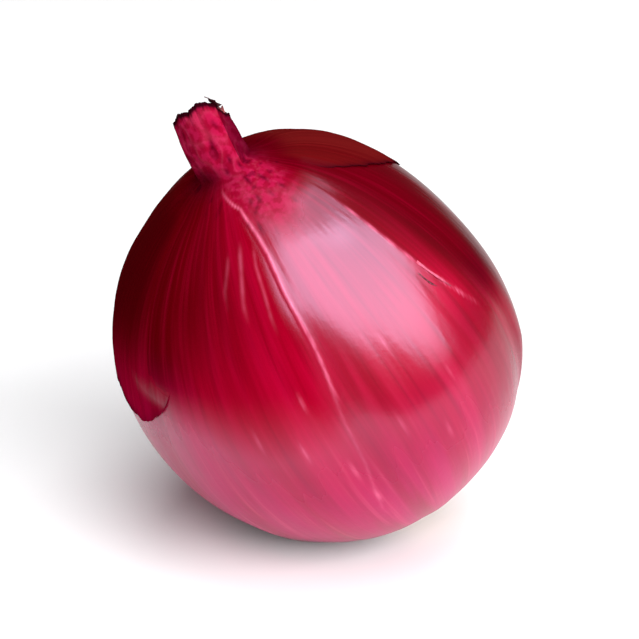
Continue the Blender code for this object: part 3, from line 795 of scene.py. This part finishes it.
def calculated(operation, a, b=0.0, clamp=False):
    made = addNode(a.id_data, "Math", {0: a, 1: b}, operation=operation, use_clamp=clamp)
    return made.outputs[0]


def times(a, b):
    return calculated("MULTIPLY", a, b)


def ramped(value, lowIn, highIn, lowOut=0.0, highOut=1.0):
    # an even S from lowOut to highOut as value goes from lowIn to highIn
    return addNode(value.id_data, "MapRange", {0: value, 1: lowIn, 2: highIn, 3: lowOut, 4: highOut},
                   interpolation_type="SMOOTHSTEP").outputs[0]


def bumped(strength, height, distance=0.00006):
    return addNode(height.id_data, "Bump", {
        "Strength": strength, "Distance": distance, "Height": height}).outputs[0]


def streakGroup():
    # noise on a circle, stretched so that streaks run from pole to pole, and thin lines where it
    # is near its middle
    tree = bpy.data.node_groups.new("lengthwiseStreaks", "ShaderNodeTree")
    for label, way, kind in (
            ("Place", "INPUT", "Vector"), ("Fineness", "INPUT", "Float"), ("Length", "INPUT", "Float"),
            ("Seed", "INPUT", "Float"), ("Streak", "OUTPUT", "Float"), ("Line", "OUTPUT", "Float")):
        tree.interface.new_socket(label, in_out=way, socket_type="NodeSocket" + kind)
    given = tree.nodes.new("NodeGroupInput").outputs
    fineness = given["Fineness"]
    scale = addNode(tree, "CombineXYZ", {"X": fineness, "Y": fineness, "Z": given["Length"]})
    stretched = addNode(tree, "VectorMath", {0: given["Place"], 1: scale.outputs[0]}, operation="MULTIPLY")
    noise = addNode(tree, "TexNoise", {
        "Vector": stretched.outputs[0], "W": given["Seed"], "Scale": 1.0, "Detail": 2.0, "Roughness": 0.55},
        noise_dimensions="4D").outputs["Fac"]
    away = calculated("ABSOLUTE", calculated("SUBTRACT", noise, 0.5))
    setInputs(tree.nodes.new("NodeGroupOutput"), {
        "Streak": noise, "Line": ramped(away, 0.0, 0.035, 1.0, 0.0)})
    return tree


streaks = streakGroup()


def shareOf(tree, label, factor=1.0):
    share = addNode(tree, "Attribute", {}, attribute_name=label).outputs["Fac"]
    return share if factor == 1.0 else times(share, factor)


def streaked(tree, name):
    # the group's streak and line, in the place that skinMarks gives and a size of streakSizes
    place = addNode(tree, "Attribute", {}, attribute_name="skinPlace").outputs["Vector"]
    fineness, length, seed = streakSizes[name]
    made = addNode(tree, "Group", {}, node_tree=streaks)
    setInputs(made, {"Place": place, "Fineness": fineness, "Length": length, "Seed": seed})
    return made.outputs["Streak"], made.outputs["Line"]


def blotched(tree, scale, detail):
    # noise at a true size: scale is in waves a metre
    place = addNode(tree, "TexCoord", {}).outputs["Object"]
    return addNode(tree, "TexNoise", {"Vector": place, "Scale": scale, "Detail": detail}).outputs["Fac"]


def newMaterial(name):
    made = bpy.data.materials.new(name)
    made.use_nodes = True
    return made, made.node_tree, made.node_tree.nodes["Principled BSDF"]


redFinish = {
    # top: the darker top of the skin, and also painted shade
    "top": linear(90, 0, 6), "deep": linear(132, 0, 24), "mid": linear(152, 1, 34),
    # low: the paler pink below, plus painted floor bounce
    "bright": linear(166, 4, 48), "pale": linear(228, 106, 142), "low": linear(172, 12, 90),
    # speck: dark specks, and also painted shade
    "neck": linear(136, 7, 40), "neckLight": linear(158, 18, 60), "speck": linear(50, 0, 12),
    # dry: papery maroon, darkened as painted shade on the left
    "rim": linear(40, 2, 11), "cream": linear(220, 190, 165), "dry": linear(74, 0, 5),
    "tan": linear(96, 18, 18), "torn": linear(94, 0, 10),
    "roughness": (0.19, 0.24), "neckRougher": 0.18, "lowRougher": 0.14, "dryRoughness": (0.25, 0.45),
    "reflection": 0.95, "neckDull": 0.8, "tint": (0.92, 0.66, 1, 1), "bump": 0.35,
}

# streak noises: fineness round the bulb, fineness along it, seed
streakSizes = {
    "broad": (3.2, 2.2, 0.3), "middle": (9, 3, 2.1), "fine": (30, 4, 4.7), "hair": (70, 5, 8.2),
}

# streaks over the first colour: noise, its range, amount at both ends of that range, share of the
# skin that has them, colour
streakLayers = (
    ("middle", (0.4, 0.7), (0, 0.7), "", "bright"),
    ("fine", (0.32, 0.5), (0.28, 0), "", "top"),
    # the darker top, with painted shade
    ("fine", (0.3, 0.8), (1, 0.8), "topAndShadeShare", "top"),
    # the paler pink below, with painted floor bounce
    ("middle", (0.25, 0.75), (0.6, 0.8), "lowPinkAndBounceShare", "low"),
    ("middle", (0.3, 0.52), (0.45, 0), "lowPinkAndBounceShare", "deep"),
    ("fine", (0.55, 0.8), (0, 0.35), "lowPinkAndBounceShare", "pale"),
    ("fine", (0.5, 0.85), (0, 0.3), "", "bright"),
)


def layered(colour, share, name):
    return mixed(share, colour, redFinish[name])


def skinColour(tree, middle, fine, lines):
    # crimson streaks with the darker top and painted shade and the paler pink below with painted floor
    # bounce, then neck, root end, veins, dark marks with painted shade, and rim on top
    colour = mixed(ramped(streaked(tree, "broad")[0], 0.35, 0.65), redFinish["deep"], redFinish["mid"])
    for noise, limits, amounts, label, name in streakLayers:
        share = ramped(middle if noise == "middle" else fine, *limits, *amounts)
        colour = layered(colour, times(share, shareOf(tree, label)) if label else share, name)
    colour = layered(colour, times(lines, 0.08), "speck")
    mottle = ramped(blotched(tree, 900.0, 3.0), 0.42, 0.6)
    neckColour = mixed(mottle, redFinish["neck"], redFinish["neckLight"])
    colour = mixed(shareOf(tree, "neckShare", 0.9), colour, neckColour)
    radial = ramped(calculated("ADD", fine, shareOf(tree, "rootShare", 0.5)), 0.55, 0.95)
    colour = layered(colour, times(radial, shareOf(tree, "rootShare")), "cream")
    for label, most, name in (
            ("paleShare", 0.8, "pale"), ("speckAndShadeShare", 0.75, "speck"), ("rimShare", 1.0, "rim")):
        colour = layered(colour, shareOf(tree, label, most), name)
    return colour


def finishRed(shader, colour, roughness, dull, grain):
    # what both red skins share; where they are dull, nothing is mirrored
    setInputs(shader, {
        "Base Color": colour, "Roughness": roughness,
        "Specular IOR Level": ramped(dull, 0.0, 1.0, redFinish["reflection"], 0.0),
        "Specular Tint": redFinish["tint"], "Normal": bumped(redFinish["bump"], grain)})


def redSkin():
    # shinier on the belly, rougher on the neck and low down
    made, tree, shader = newMaterial("red_skin")
    middle, (fine, lines) = streaked(tree, "middle")[0], streaked(tree, "fine")
    rough = calculated("ADD", ramped(middle, 0.3, 0.7, *redFinish["roughness"]),
                       shareOf(tree, "neckShare", redFinish["neckRougher"]))
    rough = calculated("ADD", rough, shareOf(tree, "lowPinkAndBounceShare", redFinish["lowRougher"]))
    dull = calculated("MAXIMUM", shareOf(tree, "dullShare"),
                      shareOf(tree, "neckShare", redFinish["neckDull"]))
    grain = calculated("ADD", fine, times(blotched(tree, 1400.0, 2.0), 0.5))
    finishRed(shader, skinColour(tree, middle, fine, lines), rough, dull, grain)
    return made


def dryRedSkin():
    # the same skin where the sheet is fresh, else papery maroon, darkened as painted shade on the left,
    # browner on the far shoulder
    made, tree, shader = newMaterial("dry_red_skin")
    middle, (fine, lines) = streaked(tree, "middle")[0], streaked(tree, "fine")
    hair, hairLines = streaked(tree, "hair")
    tan = times(shareOf(tree, "tanShare"), ramped(middle, 0.3, 0.6, 0.55, 1.0))
    papery = mixed(tan, redFinish["dry"], redFinish["tan"])
    papery = layered(papery, ramped(hair, 0.45, 0.8, 0.0, 0.3), "torn")
    papery = layered(papery, times(hairLines, 0.08), "speck")
    colour = mixed(shareOf(tree, "dryShare"), skinColour(tree, middle, fine, lines), papery)
    colour = layered(colour, shareOf(tree, "tornShare", 0.85), "rim")
    matt = shareOf(tree, "mattShare")
    low, high = redFinish["dryRoughness"]
    rough = calculated("ADD", times(matt, high - low), low)
    finishRed(shader, colour, rough, calculated("MAXIMUM", matt, shareOf(tree, "dullShare")), hair)
    return made


# dry plant matter: light, dark and tip colour, roughness
dryFinish = {
    "neck_sheath": (linear(150, 70, 70), linear(96, 30, 30), linear(60, 10, 16), 0.6),
    "loose_skin": (linear(214, 90, 120), linear(50, 2, 12), linear(70, 4, 16), 0.5),
    "skin_fringe": (linear(240, 216, 190), linear(214, 150, 140), linear(190, 120, 84), 0.7),
    "dry_roots": (linear(222, 192, 146), linear(150, 108, 66), linear(112, 76, 46), 0.8),
}
corkFinish = {
    "light": linear(214, 178, 128), "dark": linear(166, 122, 76), "pit": linear(74, 44, 26),
    "roughness": 0.85,
}


def dryMaterial(name):
    # light to dark by piece and by fine blotches, another colour at the tips
    made, tree, shader = newMaterial(name)
    light, dark, tip, roughness = dryFinish[name]
    grain = ramped(blotched(tree, 2600.0, 3.0), 0.35, 0.65)
    share = calculated("ADD", shareOf(tree, "ownShade", 0.6), times(grain, 0.4), True)
    colour = mixed(share, light, dark)
    colour = mixed(ramped(shareOf(tree, "alongShare"), 0.7, 1.0, 0.0, 0.8), colour, tip)
    setInputs(shader, {"Base Color": colour, "Roughness": roughness,
                       "Specular IOR Level": 0.3, "Normal": bumped(0.4, grain)})
    return made


def corkMaterial():
    # light and dark blotches, darkest in the pits
    made, tree, shader = newMaterial("root_cork")
    grain = ramped(blotched(tree, 1500.0, 4.0), 0.35, 0.68)
    colour = mixed(grain, corkFinish["light"], corkFinish["dark"])
    colour = mixed(shareOf(tree, "pitShare", 0.85), colour, corkFinish["pit"])
    setInputs(shader, {"Base Color": colour, "Roughness": corkFinish["roughness"],
                       "Specular IOR Level": 0.2, "Normal": bumped(0.5, grain, 0.0001)})
    return made


for piece, material in (
        (onionSkin, redSkin()), (drySkin, dryRedSkin()), (rootDisc, corkMaterial()),
        *zip((neckSheaths, looseBits, rootFringe, rootStubs), map(dryMaterial, dryFinish))):
    piece.data.materials.append(material)
print("onion: materials finished")


# Floor, light and camera

studio = {
    "cameraPlace": (-43.4, -377.7, 196.35), "cameraAim": (-0.1, 0, 33.95), "roll": 2.2, "lens": 153.5,
    "clipStart": 0.01, "worldStrength": 0.07, "floorColour": (0.9, 0.9, 0.91, 1), "floorRoughness": 0.6,
    "floorEnds": (-1500, 1500, -105, 2500),
}

# soft lights: azimuth and elevation in degrees, distance and size in mm, power in watts
lights = (
    ("keyLight", (29, 29), 1200, (2000, 900), 32.5),
    ("upperLight", (12, 62), 800, (900, 480), 3.2),
    ("skyLight", (150, 80), 1500, (1200, 1200), 12.5),
)


def buildFloor():
    # one wide table top, level with the resting spot, that ends in front of the onion
    left, right, front, back = (end * millimetre for end in studio["floorEnds"])
    mesh = bpy.data.meshes.new("floor")
    corners = [(left, front, 0.0), (right, front, 0.0), (right, back, 0.0), (left, back, 0.0)]
    mesh.from_pydata(corners, [], [(0, 1, 2, 3)])
    floor = addObject("floor", mesh)
    made, _, shader = newMaterial("paleFloor")
    setInputs(shader, {"Base Color": studio["floorColour"], "Roughness": studio["floorRoughness"]})
    floor.data.materials.append(made)


def addSoftbox(name, fromAngles, distance, size, power):
    # an area light that looks at the belly from an azimuth and an elevation in degrees
    azimuth, elevation = (radians(value) for value in fromAngles)
    direction = Vector((sin(azimuth) * cos(elevation), -cos(azimuth) * cos(elevation), sin(elevation)))
    light = bpy.data.lights.new(name, "AREA")
    light.shape = "RECTANGLE"
    light.size, light.size_y = (value * millimetre for value in size)
    light.energy = power
    lamp = addObject(name, light)
    lamp.location = (direction * distance + Vector((0.0, 0.0, lying["bellyHeight"]))) * millimetre
    lamp.rotation_euler = direction.to_track_quat("Z", "Y").to_euler()
    lamp.visible_camera = False


def buildStudio():
    buildFloor()
    for row in lights:
        addSoftbox(*row)
    world = bpy.data.worlds.new("paleRoom")
    bpy.context.scene.world = world
    world.use_nodes = True
    setInputs(world.node_tree.nodes["Background"], {
        "Color": (1.0, 1.0, 1.0, 1.0), "Strength": studio["worldStrength"]})
    bpy.context.scene.view_settings.view_transform = "Standard"
    camera = addObject("camera", bpy.data.cameras.new("camera"))
    place, aim = (Vector(studio[key]) * millimetre for key in ("cameraPlace", "cameraAim"))
    camera.location = place
    look = (aim - place).to_track_quat("-Z", "Y").to_matrix()
    camera.rotation_euler = (look @ Matrix.Rotation(radians(studio["roll"]), 3, "Z")).to_euler()
    camera.data.lens = studio["lens"]
    camera.data.clip_start = studio["clipStart"]
    bpy.context.scene.camera = camera


buildStudio()
print("onion: studio set")
